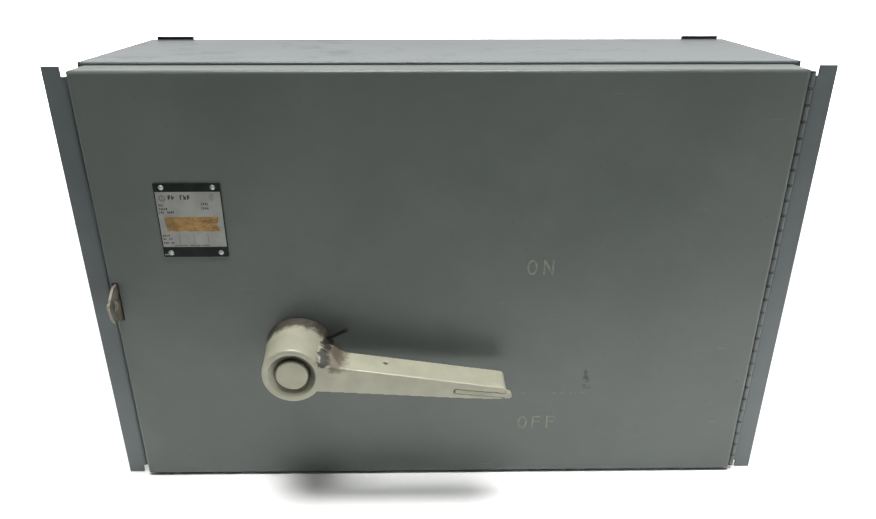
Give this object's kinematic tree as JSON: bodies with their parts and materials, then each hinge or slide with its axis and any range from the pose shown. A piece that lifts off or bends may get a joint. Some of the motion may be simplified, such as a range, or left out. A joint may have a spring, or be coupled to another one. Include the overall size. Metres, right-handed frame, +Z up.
{
  "type": "fused disconnect switch",
  "caption": "Shallow wide sheet-steel switch box with full-length hinged door, cast rotary handle with lock slide, padlock staple, and knife blades, fuses and lugs inside.",
  "frame": {"origin": "centre of the underside of the box's bottom sheet", "axes": "+X to the right as seen from the front, +Y to the back, +Z up; the door and handle face -Y"},
  "size_m": [0.5926, 0.236, 0.3785],
  "materials": {
    "grey_enamel": "semi-gloss baked enamel over sheet steel",
    "top_enamel": "semi-gloss baked enamel, lit from above",
    "rail_finish": "dark painted strip steel",
    "zinc_steel": "zinc-plated steel, worn",
    "black_steel": "black oxide",
    "cast_enamel": "satin metallic enamel on cast metal",
    "plate_face": "etched and printed aluminium",
    "sticker_paper": "worn tan label",
    "rivet_metal": "plain aluminium",
    "plated_copper": "tin-flashed copper",
    "lug_metal": "tin-plated aluminium",
    "red_insulator": "moulded glass-polyester",
    "base_board": "glass-polyester sheet",
    "fuse_tube": "melamine-glass tube"
  },
  "bodies": {
    "enclosure": {"back_panel": "grey_enamel", "left_side_panel": "grey_enamel", "right_side_panel": "grey_enamel", "top_panel": "top_enamel", "bottom_panel": "grey_enamel", "mounting_rails": "rail_finish", "box_hinge_leaf": "grey_enamel", "hasp_staple": "zinc_steel", "mechanism_plate": "zinc_steel", "mechanism_posts": "zinc_steel", "post_screws": "zinc_steel", "crossbar_bearings": "red_insulator", "mounting_base": "base_board", "base_standoffs": "zinc_steel", "base_screws": "zinc_steel", "line_straps": "plated_copper", "line_lugs": "lug_metal", "line_lug_screws": "black_steel", "line_jaws": "plated_copper", "arc_chutes": "red_insulator", "arc_plates": "zinc_steel", "hinge_straps": "plated_copper", "hinge_jaws": "plated_copper", "fuse_clips": "plated_copper", "fuse_tubes": "fuse_tube", "fuse_caps": "plated_copper", "load_straps": "plated_copper", "load_lugs": "lug_metal", "load_lug_screws": "black_steel", "strap_bolts": "zinc_steel", "phase_barriers": "red_insulator", "ground_post": "zinc_steel", "ground_lug": "plated_copper", "ground_lug_screw": "zinc_steel"},
    "door": {"door_panel": "grey_enamel", "door_hinge_leaf": "grey_enamel", "hinge_pin": "zinc_steel", "nameplate": "plate_face", "rating_sticker": "sticker_paper", "nameplate_rivets": "rivet_metal", "handle_bearing": "zinc_steel", "bearing_nut": "zinc_steel", "door_catch": "zinc_steel"},
    "handle": {"handle_casting": "cast_enamel", "handle_cap": "cast_enamel", "handle_screw": "zinc_steel", "operating_shaft": "zinc_steel", "drive_tongue": "zinc_steel", "slide_pin": "zinc_steel"},
    "slide": {"lock_slide": "cast_enamel"},
    "release_pin": {"interlock_pin": "black_steel"},
    "receiver": {"drive_receiver": "zinc_steel", "receiver_crank": "zinc_steel", "crank_ring": "black_steel", "torsion_spring": "zinc_steel"},
    "crossbar": {"crossbar": "red_insulator", "crossbar_fork": "zinc_steel", "switch_blades": "plated_copper"}
  },
  "joints": [
    {"name": "door_hinge", "type": "hinge", "parent": "enclosure", "child": "door", "pos_m": [0.2774, -0.1046, 0.188], "axis": [0, 0, 1], "range_deg": [0, 120]},
    {"name": "handle_turn", "type": "hinge", "parent": "door", "child": "handle", "pos_m": [-0.1223, -0.109, 0.1386], "axis": [0, -1, 0], "range_deg": [-14.9, 26.4]},
    {"name": "lock_slide_pull", "type": "slide", "parent": "handle", "child": "slide", "axis": [0.9942, 0, -0.108], "range_m": [0, 0.018]},
    {"name": "release_pin_push", "type": "slide", "parent": "handle", "child": "release_pin", "axis": [-0.887, 0, -0.4618], "range_m": [0, 0.005], "stiffness_N_per_m": 300, "springref_m": -0.002},
    {"name": "receiver_turn", "type": "hinge", "parent": "enclosure", "child": "receiver", "pos_m": [-0.1223, -0.06, 0.1386], "axis": [0, -1, 0], "range_deg": [-15, 26.5]},
    {"name": "crossbar_turn", "type": "hinge", "parent": "enclosure", "child": "crossbar", "pos_m": [-0.1223, 0.01, 0.188], "axis": [0, 0, -1], "range_deg": [-21.8, 38.5]}
  ],
  "couplings": [
    {"joint": "receiver_turn", "follows": "handle_turn", "ratio": 1},
    {"joint": "crossbar_turn", "follows": "handle_turn", "ratio": 1.4528}
  ]
}
